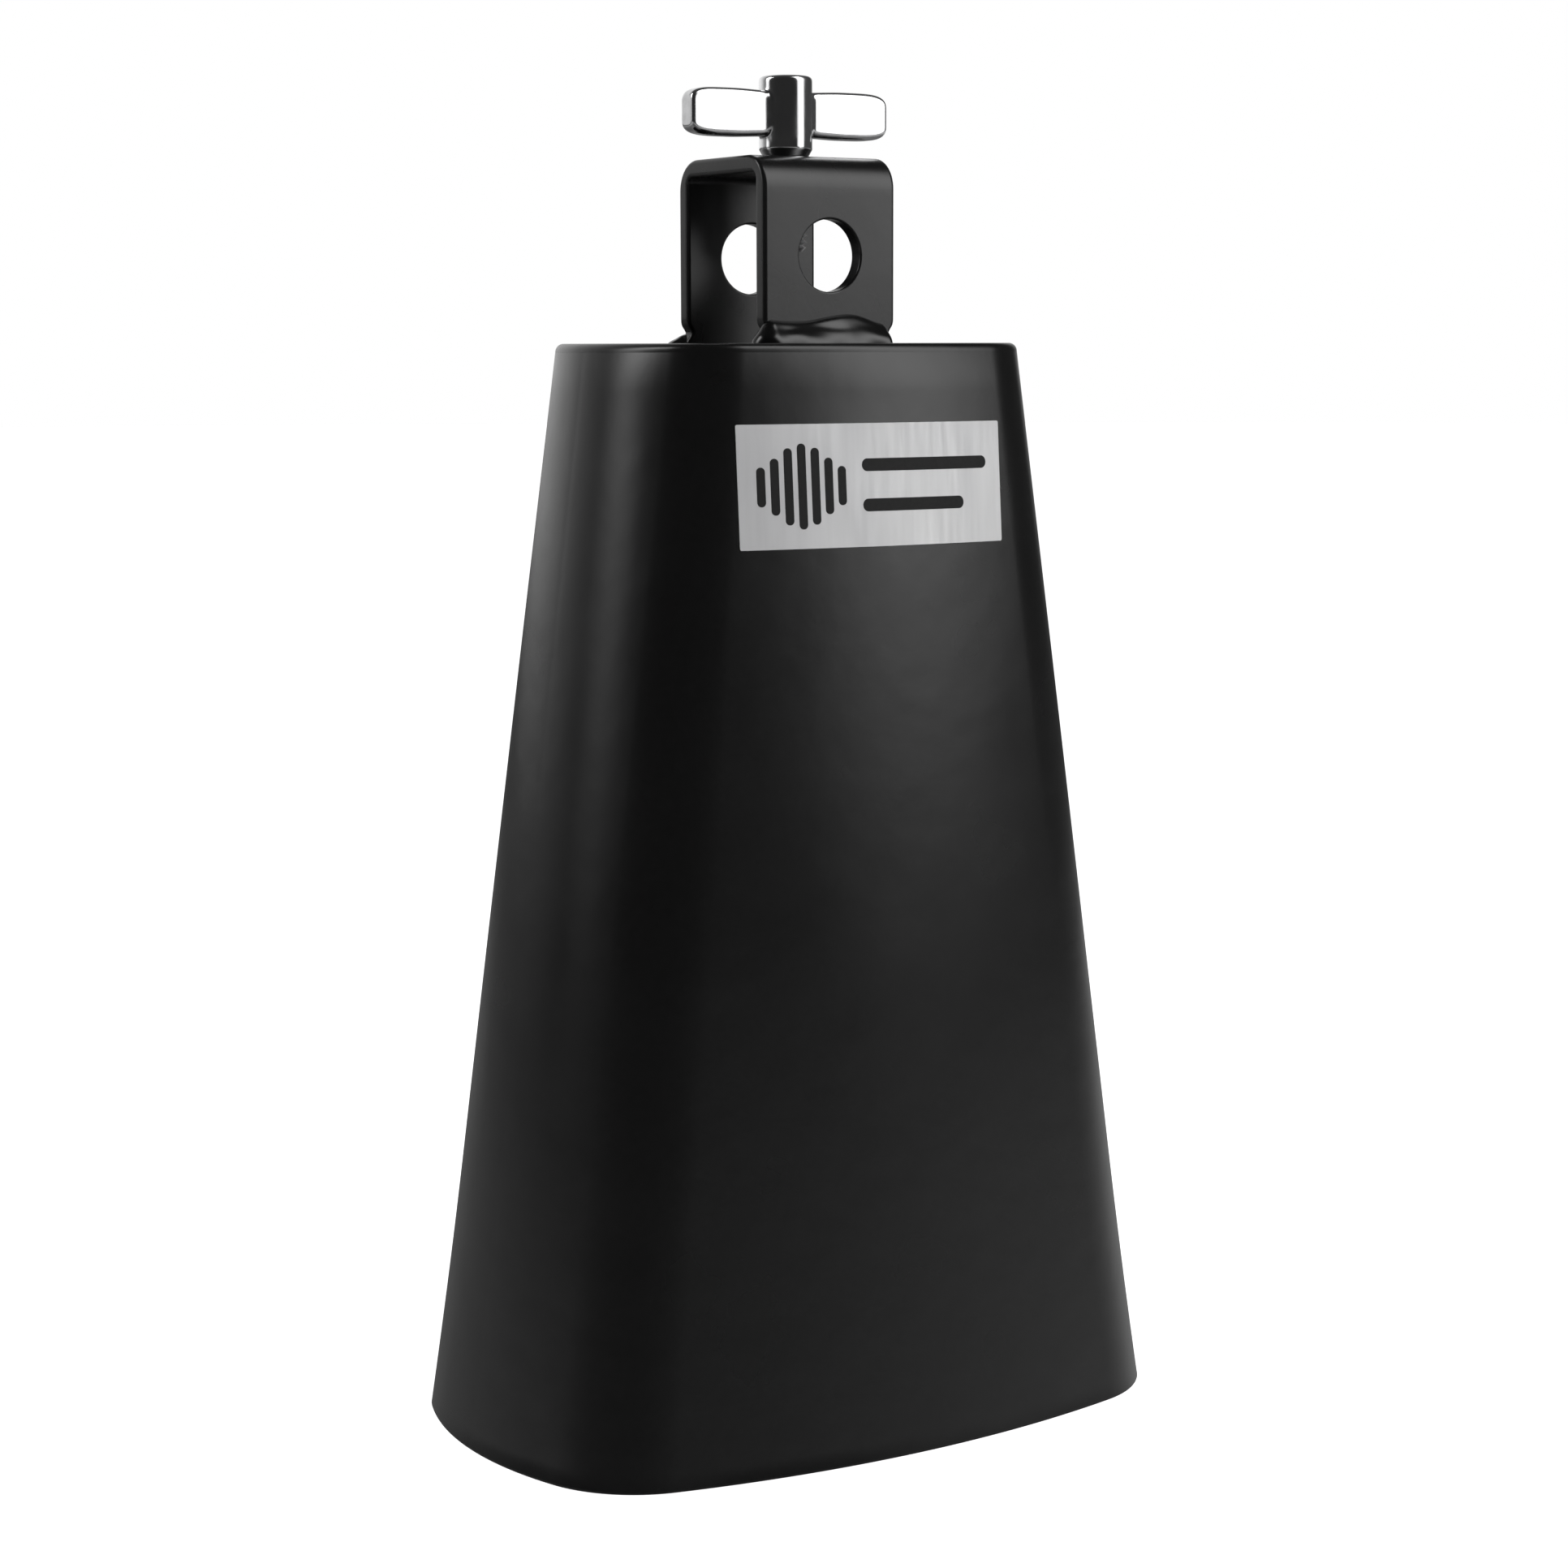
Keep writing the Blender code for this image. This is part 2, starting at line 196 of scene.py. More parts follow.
# How bright the dim parts of the room are. A fade is a pair of cosines, from where it starts to where it
# ends: off a level direction, or off straight up.
BACK_WALL_AZIMUTH = 84.0
BACK_WALL = 0.9
BACK_WALL_FADE = (0.5, 0.97)
BACK_WALL_FOOT_FADE = (-0.06, 0.04)
TABLE = 0.55
TABLE_FAR_FADE = (-0.15, -0.1)
TABLE_NEAR = 0.2
TABLE_NEAR_FADE = (-0.5, -0.25)
TABLE_CAMERA_SIDE = 0.3
TABLE_CAMERA_SIDE_FADE = (0.3, 1.0)
TABLE_BACK = 0.25
TABLE_BACK_FADE = (0.3, 0.95)
ROOM = 0.055
ROOM_CAMERA_SIDE = 0.4
ROOM_FADE = (-0.2, 0.7)

CROWN_LOW, CROWN_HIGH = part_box("crown_plate")
STRAP_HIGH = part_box("clamp_bracket")[1]
STUD_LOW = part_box("threaded_stud")[0]
HEAD_LOW, HEAD_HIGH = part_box("wing_head")
BADGE_LOW, BADGE_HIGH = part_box("badge")
CROWN_TOP = CROWN_HIGH.z
BRACKET_TOP = STRAP_HIGH.z


# Meshes


def lofted(name, loops, ends="strip"):
    """A mesh through closed loops of equally many points.

    ends is face, or strip for outlines with two matching halves, or ring where the last loop meets the
    first.
    """
    bm = bmesh.new()
    rows = [[bm.verts.new(point) for point in loop] for loop in loops]
    pairs = list(zip(rows, rows[1:]))
    if ends == "ring":
        pairs.append((rows[-1], rows[0]))
    for low, high in pairs:
        for i in range(len(low)):
            bm.faces.new((low[i - 1], low[i], high[i], high[i - 1]))
    for row in (rows[0], rows[-1]):
        if ends == "face":
            bm.faces.new(row)
        if ends == "strip":
            for i in range(len(row) // 2 - 1):
                bm.faces.new((row[i], row[i + 1], row[-2 - i], row[-1 - i]))
    return mesh_from(bm, name)


def mesh_from(bm, name):
    bmesh.ops.recalc_face_normals(bm, faces=bm.faces)
    mesh = bpy.data.meshes.new(name)
    bm.to_mesh(mesh)
    bm.free()
    return mesh


def smooth(mesh, sharp_angle=40.0):
    mesh.shade_smooth()
    mesh.set_sharp_from_angle(angle=math.radians(sharp_angle))


def linked(name, mesh):
    obj = bpy.data.objects.new(name, mesh)
    bpy.context.scene.collection.objects.link(obj)
    return obj


def with_modifiers_applied(obj, helpers=()):
    """Replaces an object's mesh by what its modifiers make of it, and removes the objects that they used."""
    graph = bpy.context.evaluated_depsgraph_get()
    mesh = bpy.data.meshes.new_from_object(obj.evaluated_get(graph))
    obj.modifiers.clear()
    obj.data = mesh
    for helper in helpers:
        bpy.data.objects.remove(helper, do_unlink=True)
    return obj


def add_boolean(obj, operation, other):
    boolean = obj.modifiers.new(other.name, "BOOLEAN")
    boolean.operation = operation
    boolean.solver = "EXACT"
    boolean.object = other


def placed(obj, body, slot, material, *nodes):
    """Gives a piece its material and its CAD body, and hides the CAD nodes that it stands for. The slot is
    not used.
    """
    obj.data.materials.clear()
    obj.data.materials.append(material)
    if nodes:
        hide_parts(*nodes)
    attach(obj, body)
    return obj


def eased(share):
    """0 to 1 with a gentle start and end."""
    share = min(1.0, max(0.0, share))
    return share * share * (3.0 - 2.0 * share)


def lumps(point, size, seed=0.0):
    """Smooth noise between about -1 and 1, with lumps of that size."""
    return noise.noise(Vector(point) / size + Vector((seed, seed, seed)))


# The bell's outline


def bell_oval(z, inset=0.0):
    """The bell's outer outline at height z, drawn in all round by inset."""
    up = z / CROWN_TOP
    flare = FLARE * max(0.0, 1.0 - z / FLARE_HEIGHT) ** 2
    return Oval(*(low + (high - low) * up + flare - inset for low, high in zip(MOUTH, CROWN)))


def arc(centre, radius, start, end, shares):
    """Points along an arc, at these shares of its angle."""
    angles = [start + (end - start) * share for share in shares]
    return [centre + radius * Vector((math.cos(angle), math.sin(angle))) for angle in angles]


def quarter_outline(oval):
    """Points from the middle of the +X side, close together there, to just before the middle of +Y."""
    face = Vector((0.0, oval.half_depth - oval.face_radius))
    side = Vector((oval.half_width - oval.side_radius, 0.0))
    crossings = intersect_sphere_sphere_2d(
        face, oval.face_radius - oval.corner_radius, side, oval.side_radius - oval.corner_radius
    )
    corner = max(crossings, key=lambda point: point.x + point.y)
    side_end = math.atan2(corner.y - side.y, corner.x - side.x)
    face_start = math.atan2(corner.y - face.y, corner.x - face.x)
    side_steps, corner_steps, face_steps = 20, 28, 24
    side_shares = [(i / side_steps) ** 2 for i in range(side_steps)]
    corner_shares = [i / corner_steps for i in range(corner_steps)]
    face_shares = [i / face_steps for i in range(face_steps)]
    return (
        arc(side, oval.side_radius, 0.0, side_end, side_shares)
        + arc(corner, oval.corner_radius, side_end, face_start, corner_shares)
        + arc(face, oval.face_radius, face_start, math.pi / 2, face_shares)
    )


def half_outline(oval):
    """Points from the middle of the +X side round by the +Y face to the middle of the -X side."""
    quarter = quarter_outline(oval)
    middle = [Vector((0.0, oval.half_depth))]
    return quarter + middle + [Vector((-point.x, point.y)) for point in reversed(quarter)]


def full_outline(oval):
    half = half_outline(oval)[:-1]
    return half + [-point for point in half]


def seam_groove(y):
    """How far the ground weld lies below the wall's surface at this distance from the seam."""
    return SEAM_DEPTH * math.exp(-(y / SEAM_WIDTH) ** 2)


def waved(point, outward):
    """The point moved by the sheet's slight unevenness, always inwards and fading out under the crown."""
    wave = (0.5 + 0.5 * lumps(point, WAVE_LENGTH, seed=3.0)) * eased((CROWN_LOW.z - point.z) / WAVE_FADE)
    return point - outward * WAVE_DEPTH * wave


# Shells and crown


def wall_profile(top):
    """(height, inset) pairs down the outside of the wall, from its top edge round to half of the rim."""
    edge_steps, straight_steps, flare_steps, rim_steps = 2, 22, 16, 8
    profile = [
        (top - JOINT_ROUND * (1.0 - math.cos(math.pi / 2 * i / edge_steps)),
         JOINT_ROUND * (1.0 - math.sin(math.pi / 2 * i / edge_steps)))
        for i in range(edge_steps + 1)
    ]
    start = top - JOINT_ROUND
    for i in range(1, straight_steps + 1):
        profile.append((start + (FLARE_HEIGHT - start) * i / straight_steps, 0.0))
    for i in range(1, flare_steps + 1):
        profile.append((FLARE_HEIGHT + (RIM_ROUND - FLARE_HEIGHT) * i / flare_steps, 0.0))
    for i in range(1, rim_steps + 1):
        angle = math.pi / 2 * i / rim_steps
        profile.append((RIM_ROUND * (1.0 - math.sin(angle)), RIM_ROUND * (1.0 - math.cos(angle))))
    return profile


def build_shells(paint):
    """Both half shells. The front one is the back one turned round, with its own unevenness."""
    outer = wall_profile(CROWN_LOW.z)
    inner = [(z, WALL - inset) for z, inset in reversed(outer)]
    outlines = []
    for z, inset in outer + inner:
        outline = []
        outside = inset < WALL / 2
        for point in half_outline(bell_oval(z, inset)):
            outward = Vector((point.x, point.y * 2.0, 0.0)).normalized()
            moved = Vector((point.x, point.y, z))
            if outside:
                moved = moved - Vector((math.copysign(seam_groove(point.y), point.x), 0.0, 0.0))
            outline.append((moved, outward, outside and z > RIM_ROUND))
        outlines.append(outline)
    for name, node, sign in (
        ("back_shell", "back_half_shell", 1.0),
        ("front_shell", "front_half_shell", -1.0),
    ):
        loops = []
        for i in range(len(outlines[0])):
            loop = []
            for outline in outlines:
                point, outward, wavy = outline[i]
                turned_point = Vector((sign * point.x, sign * point.y, point.z))
                turned_outward = Vector((sign * outward.x, sign * outward.y, 0.0))
                loop.append(waved(turned_point, turned_outward) if wavy else turned_point)
            loops.append(loop)
        mesh = lofted(name, loops)
        smooth(mesh)
        placed(linked(name, mesh), "bell", "shell_powder_coat", paint, node)


def build_crown(paint):
    """The crown plate: a tight joint below, a rounded edge and a flat top face."""
    steps = 10
    rings = [(CROWN_LOW.z, JOINT_ROUND), (CROWN_LOW.z + JOINT_ROUND, 0.0)]
    for i in range(steps + 1):
        angle = math.pi / 2 * i / steps
        down = CROWN_EDGE_RADIUS * (1.0 - math.sin(angle))
        rings.append((CROWN_TOP - down, CROWN_EDGE_RADIUS * (1.0 - math.cos(angle))))
    for inset in (2.0 * MM, 4.0 * MM, 8.0 * MM, 12.0 * MM, 15.0 * MM):
        rings.append((CROWN_TOP, inset))
    loops = []
    for z, inset in rings:
        loops.append([Vector((point.x, point.y, z)) for point in full_outline(bell_oval(z, inset))])
    mesh = lofted("crown", loops)
    smooth(mesh)
    placed(linked("crown", mesh), "bell", "shell_powder_coat", paint, "crown_plate")


# Bracket


def strap_stations():
    """(outer point, inner point, narrowing) in the YZ plane, from the front foot to the rear foot."""
    half_depth = STRAP_HIGH.y
    inner_half_depth, inner_top = half_depth - STRAP_THICKNESS, BRACKET_TOP - STRAP_THICKNESS
    foot_z = CROWN_TOP - FOOT_SINK
    outer_leg = BRACKET_TOP - BEND_RADIUS - foot_z
    inner_leg = inner_top - INNER_BEND_RADIUS - foot_z
    outer_centre = Vector((BEND_RADIUS - half_depth, foot_z + outer_leg))
    inner_centre = Vector((INNER_BEND_RADIUS - inner_half_depth, foot_z + inner_leg))
    leg_steps, bend_steps = 40, 14
    half = []
    for i in range(leg_steps):
        share = (i / leg_steps) ** 1.6
        outer = Vector((-half_depth, foot_z + outer_leg * share))
        inner = Vector((-inner_half_depth, foot_z + inner_leg * share))
        above = (outer.y - CROWN_TOP - FOOT_UNDERCUT_HEIGHT) / FOOT_UNDERCUT_REACH
        half.append((outer, inner, FOOT_UNDERCUT * math.exp(-above ** 2)))
    for i in range(bend_steps + 1):
        angle = math.pi / 2 * i / bend_steps
        outward = Vector((-math.cos(angle), math.sin(angle)))
        half.append((outer_centre + outward * BEND_RADIUS, inner_centre + outward * INNER_BEND_RADIUS, 0.0))
    middle = [(Vector((0.0, BRACKET_TOP)), Vector((0.0, inner_top)), 0.0)]
    mirrored = [
        (Vector((-outer.x, outer.y)), Vector((-inner.x, inner.y)), narrowing)
        for outer, inner, narrowing in reversed(half)
    ]
    return half + middle + mirrored


def rounded_rectangle(half_width, low, high, radius, steps=6):
    """Points round a rectangle with rounded corners, x within half_width of 0 and y from low to high."""
    corners = (
        (half_width - radius, high - radius, 0.0),
        (radius - half_width, high - radius, 90.0),
        (radius - half_width, low + radius, 180.0),
        (half_width - radius, low + radius, 270.0),
    )
    points = []
    for x, y, start in corners:
        for i in range(steps + 1):
            angle = math.radians(start + 90.0 * i / steps)
            points.append((x + radius * math.cos(angle), y + radius * math.sin(angle)))
    return points


def turned(name, profile, steps=96):
    """A closed solid of revolution about Z through (radius, height) points, with a face at each end."""
    angles = [2.0 * math.pi * i / steps for i in range(steps)]
    loops = [
        [Vector((radius * math.cos(angle), radius * math.sin(angle), height)) for angle in angles]
        for radius, height in profile
    ]
    return lofted(name, loops, ends="face")


def hole_cutter(name, radius, faces):
    """A spool along Z that cuts a hole with rounded edges.

    faces are the (height, side) pairs of the faces that it passes, side +1 where metal lies above.
    """
    wide = radius + HOLE_EDGE_RADIUS
    steps = 6
    profile = [(wide, faces[0][0] - CUTTER_REACH)]
    for height, side in faces:
        rounding = []
        for i in range(steps + 1):
            angle = math.pi / 2 * i / steps
            into_metal = HOLE_EDGE_RADIUS * (1.0 - math.cos(angle))
            rounding.append((wide - HOLE_EDGE_RADIUS * math.sin(angle), height + side * into_metal))
        profile += rounding if side > 0 else rounding[::-1]
    profile.append((wide, faces[-1][0] + CUTTER_REACH))
    return linked(name, turned(name, profile))


def build_bracket(paint):
    """The bent strap, with the rod's holes through both legs and the screw's hole through its top."""
    half_width = STRAP_HIGH.x
    loops = []
    for outer, inner, narrowing in strap_stations():
        loop = []
        for x, depth in rounded_rectangle(half_width - narrowing, 0.0, STRAP_THICKNESS, STRAP_EDGE_RADIUS):
            point = outer.lerp(inner, depth / STRAP_THICKNESS)
            loop.append(Vector((x, point.x, point.y)))
        loops.append(loop)
    bracket = linked("bracket", lofted("bracket", loops, ends="face"))
    outer_y = STRAP_HIGH.y
    inner_y = outer_y - STRAP_THICKNESS
    rod_hole = hole_cutter(
        "rod_hole", ROD_HOLE_RADIUS, [(-outer_y, 1.0), (-inner_y, -1.0), (inner_y, 1.0), (outer_y, -1.0)]
    )
    rod_hole.rotation_euler.x = math.pi / 2
    rod_hole.location.z = CROWN_TOP + ROD_HOLE_HEIGHT
    screw_hole = hole_cutter("screw_hole", SCREW_HOLE_RADIUS, [(-STRAP_THICKNESS, 1.0), (0.0, -1.0)])
    screw_hole.location.z = BRACKET_TOP
    add_boolean(bracket, "DIFFERENCE", rod_hole)
    add_boolean(bracket, "DIFFERENCE", screw_hole)
    with_modifiers_applied(bracket, (rod_hole, screw_hole))
    smooth(bracket.data, 30.0)
    weighted = bracket.modifiers.new("flat_faces", "WEIGHTED_NORMAL")
    weighted.keep_sharp = True
    with_modifiers_applied(bracket)
    placed(bracket, "bell", "bracket_powder_coat", paint, "clamp_bracket")


# Welds


def bead_line(side):
    """(point, outward direction, x share) along a foot of the bracket.

    The line starts a little way along the strap's left edge, turns the corner and stops short of the
    right edge.
    """
    half_width, leg_y = STRAP_HIGH.x - FOOT_UNDERCUT, STRAP_HIGH.y
    corner = Vector((BEAD_CORNER - half_width, leg_y - BEAD_CORNER))
    wrap_steps, corner_steps, front_steps = 12, 14, 110
    line = []
    for i in range(wrap_steps):
        back = BEAD_WRAP * (1.0 - i / wrap_steps)
        line.append((Vector((-half_width, corner.y - back)), Vector((-1.0, 0.0)), 0.0))
    for i in range(corner_steps):
        angle = math.pi - math.pi / 2 * i / corner_steps
        outward = Vector((math.cos(angle), math.sin(angle)))
        line.append((corner + outward * BEAD_CORNER, outward, 0.0))
    start, end = corner.x, half_width - BEAD_STOP
    for i in range(front_steps + 1):
        along = i / front_steps
        line.append((Vector((start + (end - start) * along, leg_y)), Vector((0.0, 1.0)), along))
    return [
        (Vector((point.x, side * point.y)), Vector((outward.x, side * outward.y)), along)
        for point, outward, along in line
    ]


def bracket_bead(name, side, left_height, peak_height, seed):
    """The hand-laid bead round one foot of the bracket: a smooth fillet that climbs the leg in places."""
    line = bead_line(side)
    columns = 18
    loops = []
    travelled = 0.0
    previous = line[0][0]
    for point, outward, along in line:
        travelled += (point - previous).length
        previous = point
        started = travelled / (BEAD_WRAP + BEAD_CORNER)
        into_end = max(0.0, (along - 1.0 + BEAD_END_SHARE) / BEAD_END_SHARE)
        end_roundness = math.sqrt(max(0.0, 1.0 - into_end ** 2))
        size = eased(BEAD_START_SIZE + (1.0 - BEAD_START_SIZE) * started)
        size *= BEAD_END_SIZE + (1.0 - BEAD_END_SIZE) * end_roundness
        swell = lumps((point.x, point.y, 0.0), BEAD_SWELL_LENGTH, seed)
        peak = peak_height * math.exp(-((point.x - BEAD_PEAK_X) / BEAD_PEAK_WIDTH) ** 2)
        height = left_height + (BEAD_RIGHT_HEIGHT - left_height) * along + peak
        height = size * (height + BEAD_SWELL_HEIGHT * swell)
        reach = size * (BEAD_REACH - BEAD_SWELL_REACH * swell)
        inner = point - outward * BEAD_SINK
        loop = [Vector((inner.x, inner.y, CROWN_TOP - BEAD_SINK))]
        for j in range(columns + 1):
            angle = math.pi / 2 * j / columns
            hollow = 1.0 - BEAD_HOLLOW * math.sin(2.0 * angle) ** 2
            out = (reach + BEAD_SINK) * math.sin(angle) * hollow
            up = (height + BEAD_SINK) * math.cos(angle) * hollow
            spot = Vector((inner.x + outward.x * out, inner.y + outward.y * out, CROWN_TOP - BEAD_SINK + up))
            drawn_out = Vector((BEAD_STREAK_STRETCH * spot.x, spot.y, spot.z))
            rough = BEAD_LUMP_DEPTH * lumps(spot, BEAD_LUMP_LENGTH, seed + 11.0)
            rough += BEAD_STREAK_DEPTH * lumps(drawn_out, BEAD_STREAK_WIDTH, seed)
            level = outward * math.sin(angle)
            shift = rough * math.sin(2.0 * angle) * size
            loop.append(spot + Vector((level.x, level.y, math.cos(angle))) * shift)
        loops.append(loop)
    mesh = lofted(name, loops, ends="face")
    smooth(mesh, 70.0)
    return linked(name, mesh)


def scaled_bead_size(along, seed):
    """How a laid bead's size changes along it: overlapping scales, each a quick rise and a slow fall."""
    wander = BEAD_WANDER * noise.noise(Vector((along / BEAD_WANDER_LENGTH, seed, 0.0)))
    unevenness = BEAD_UNEVENNESS * noise.noise(Vector((along / BEAD_UNEVENNESS_LENGTH, seed, 4.0)))
    phase = along / BEAD_SCALE_LENGTH + unevenness
    step = phase - math.floor(phase)
    return 1.0 + wander - BEAD_SCALE_DEPTH * step ** 1.5


def build_seam_beads(paint):
    """The bead inside each narrow side, where the half shells meet."""
    sections, section_points = 360, 14
    for name, node, side, seed in (
        ("left_seam_bead", "left_seam_weld", -1.0, 1.0),
        ("right_seam_bead", "right_seam_weld", 1.0, 2.0),
    ):
        low, high = (corner.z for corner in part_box(node))
        loops = []
        for i in range(sections + 1):
            z = low + (high - low) * i / sections
            wall_x = bell_oval(z, inset=WALL).half_width + SEAM_BEAD_SINK
            taper = min(1.0, 0.3 + min(z - low, high - z) / SEAM_BEAD_TAPER)
            loop = []
            for j in range(section_points):
                angle = math.pi * (j / (section_points - 1) - 0.5)
                bowed_z = z - SEAM_BEAD_BOW * math.cos(angle)
                size = taper * scaled_bead_size(bowed_z, seed)
                x = wall_x - (SEAM_BEAD_HEIGHT + SEAM_BEAD_SINK) * size * math.cos(angle)
                loop.append(Vector((side * x, 0.5 * SEAM_BEAD_WIDTH * size * math.sin(angle), z)))
            loops.append(loop)
        mesh = lofted(name, loops, ends="face")
        smooth(mesh, 80.0)
        placed(linked(name, mesh), "bell", "weld_powder_coat", paint, node)


def build_crown_bead(paint):
    """The bead under the crown plate, all round the inside of the wall."""
    z = CROWN_LOW.z - CROWN_BEAD_RADIUS
    line = full_outline(bell_oval(z, inset=WALL + 0.8 * CROWN_BEAD_RADIUS))
    dense = []
    for start, end in zip(line, line[1:] + line[:1]):
        steps = max(1, round((end - start).length / CROWN_BEAD_STEP))
        dense += [start.lerp(end, i / steps) for i in range(steps)]
    section_points = 12
    loops = []
    along = 0.0
    for i, point in enumerate(dense):
        following = dense[(i + 1) % len(dense)]
        tangent = (following - dense[i - 1]).normalized()
        outward = Vector((tangent.y, -tangent.x))
        radius = CROWN_BEAD_RADIUS * CROWN_BEAD_SWELL * scaled_bead_size(along, seed=5.0)
        loop = []
        for j in range(section_points):
            angle = 2.0 * math.pi * j / section_points
            shifted = point + outward * radius * math.cos(angle)
            loop.append(Vector((shifted.x, shifted.y, z + radius * math.sin(angle))))
        loops.append(loop)
        along += (following - point).length
    mesh = lofted("crown_bead", loops, ends="ring")
    smooth(mesh, 80.0)
    placed(linked("crown_bead", mesh), "bell", "weld_powder_coat", paint, "crown_weld")


# Wing screw


def thread_radius(turn, z):
    """The stud's radius at height z, where the helix's phase is turn, a count of pitches.

    It is limited by the neck above the bracket and by the chamfer at the tip.
    """
    step = abs(2.0 * (turn - math.floor(turn)) - 1.0)
    flank = min(1.0, max(0.0, (step - THREAD_CREST) / (1.0 - THREAD_CREST - THREAD_ROOT)))
    radius = SCREW_RADIUS - THREAD_DEPTH * flank
    if z > BRACKET_TOP + NECK_START:
        radius = min(radius, NECK_RADIUS)
    return min(radius, SCREW_TIP_RADIUS + (z - STUD_LOW.z))


def build_stud(zinc):
    """The threaded stud. Its rows of points climb along the helix, so that the crest is a clean line."""
    top = BRACKET_TOP + NECK_OVERLAP
    per_turn, columns = 12, 72
    first = -per_turn
    count = math.ceil((top - STUD_LOW.z) / THREAD_PITCH * per_turn) + 2 * per_turn
    bm = bmesh.new()
    rows = []
    for i in range(count + 1):
        row = []
        for j in range(columns):
            z = STUD_LOW.z + THREAD_PITCH * ((first + i) / per_turn + j / columns)
            z = min(top, max(STUD_LOW.z, z))
            angle = 2.0 * math.pi * j / columns
            radius = thread_radius((first + i) / per_turn, z)
            row.append(bm.verts.new((radius * math.cos(angle), radius * math.sin(angle), z)))
        rows.append(row)
    for i in range(count - per_turn):
        for j in range(columns):
            if j + 1 < columns:
                right_low, right_high = rows[i][j + 1], rows[i + 1][j + 1]
            else:
                right_low, right_high = rows[i + per_turn][0], rows[i + per_turn + 1][0]
            bm.faces.new((rows[i][j], right_low, right_high, rows[i + 1][j]))
    bmesh.ops.remove_doubles(bm, verts=bm.verts, dist=0.0005 * MM)
    bmesh.ops.delete(bm, geom=[vert for vert in bm.verts if not vert.link_faces], context="VERTS")
    bmesh.ops.holes_fill(bm, edges=[edge for edge in bm.edges if edge.is_boundary], sides=0)
    mesh = mesh_from(bm, "stud")
    smooth(mesh, 32.0)
    placed(linked("stud", mesh), "screw_stud", "zinc_plated_steel", zinc, "threaded_stud")


def hub_mesh():
    """The hub: a slightly domed top with a rounded rim, straight sides and a chamfered foot."""
    top, foot = HEAD_HIGH.z, HEAD_LOW.z
    rim = HUB_RADIUS - HUB_TOP_ROUND
    rim_z = top - HUB_TOP_DOME - HUB_TOP_ROUND
    dome_steps, rim_steps = 4, 8
    profile = [(HUB_TOP_FLAT, top)]
    for i in range(1, dome_steps + 1):
        share = i / dome_steps
        profile.append((rim * share, top - HUB_TOP_DOME * share ** 2))
    for i in range(1, rim_steps + 1):
        angle = math.pi / 2 * i / rim_steps
        profile.append((rim + HUB_TOP_ROUND * math.sin(angle), rim_z + HUB_TOP_ROUND * math.cos(angle)))
    profile += [
        (HUB_RADIUS, foot + HUB_FOOT_HEIGHT),
        (HUB_RADIUS - HUB_SHOULDER_IN, foot + HUB_FOOT_HEIGHT - HUB_SHOULDER_DOWN),
        (HUB_FOOT_RADIUS, foot + HUB_FOOT_EDGE),
        (HUB_FOOT_RADIUS - HUB_FOOT_EDGE, foot),
    ]
    return turned("hub", profile)


def wing_section(x):
    """(half thickness, half height) of a wing at distance x from the hub's axis."""
    reach = HEAD_HIGH.x
    if x < WING_WIDEST:
        rise = eased((x - WING_ROOT_START) / (WING_WIDEST - WING_ROOT_START))
        half_height = WING_ROOT_HALF_HEIGHT + (WING_HALF_HEIGHT - WING_ROOT_HALF_HEIGHT) * rise
    else:
        share = min(1.0, (x - WING_WIDEST) / (reach - WING_WIDEST))
        rounded = max(0.0, 1.0 - share ** WING_END_POWER) ** (1.0 / WING_END_POWER)
        half_height = WING_HALF_HEIGHT * rounded
    fillet = max(0.0, 1.0 - (x - WING_ROOT_START) / (WING_FILLET_END - WING_ROOT_START))
    half_thickness = WING_HALF_THICKNESS + (WING_ROOT_HALF_THICKNESS - WING_HALF_THICKNESS) * fillet ** 2
    into_end = (x - (reach - WING_END_ROUND)) / WING_END_ROUND
    if into_end > 0.0:
        rounded = math.sqrt(max(0.0, 1.0 - into_end ** 2))
        half_thickness *= WING_END_THICKNESS + (1.0 - WING_END_THICKNESS) * rounded
    return half_thickness, half_height


def wing_mesh(side):
    """One wing, from inside the hub to its end: a plate with soft edges and slightly pillowed faces."""
    reach = HEAD_HIGH.x
    centre_z = BRACKET_TOP + WING_CENTRE_HEIGHT
    start, end_start = WING_HUB_OVERLAP_START, reach - WING_END_REACH
    steps, end_steps = 56, 12
    stations = [start + (end_start - start) * i / steps for i in range(steps)]
    stations += [reach - WING_END_REACH * math.cos(math.pi / 2 * i / end_steps) for i in range(end_steps)]
    loops = []
    for x in stations:
        half_thickness, half_height = wing_section(max(x, WING_ROOT_START))
        radius = min(WING_EDGE_RADIUS, 0.95 * half_thickness, 0.95 * half_height)
        root = eased((WING_BLEND_END - x) / WING_BLEND_LENGTH)
        radius += (0.9 * half_thickness - radius) * root
        loop = []
        for y, z in rounded_rectangle(half_thickness, -half_height, half_height, radius, steps=8):
            pillow = WING_PILLOW * (1.0 - (z / half_height) ** 2)
            loop.append(Vector((side * x, y + math.copysign(pillow, y), centre_z + z)))
        loops.append(loop)
    return lofted("wing", loops, ends="face")


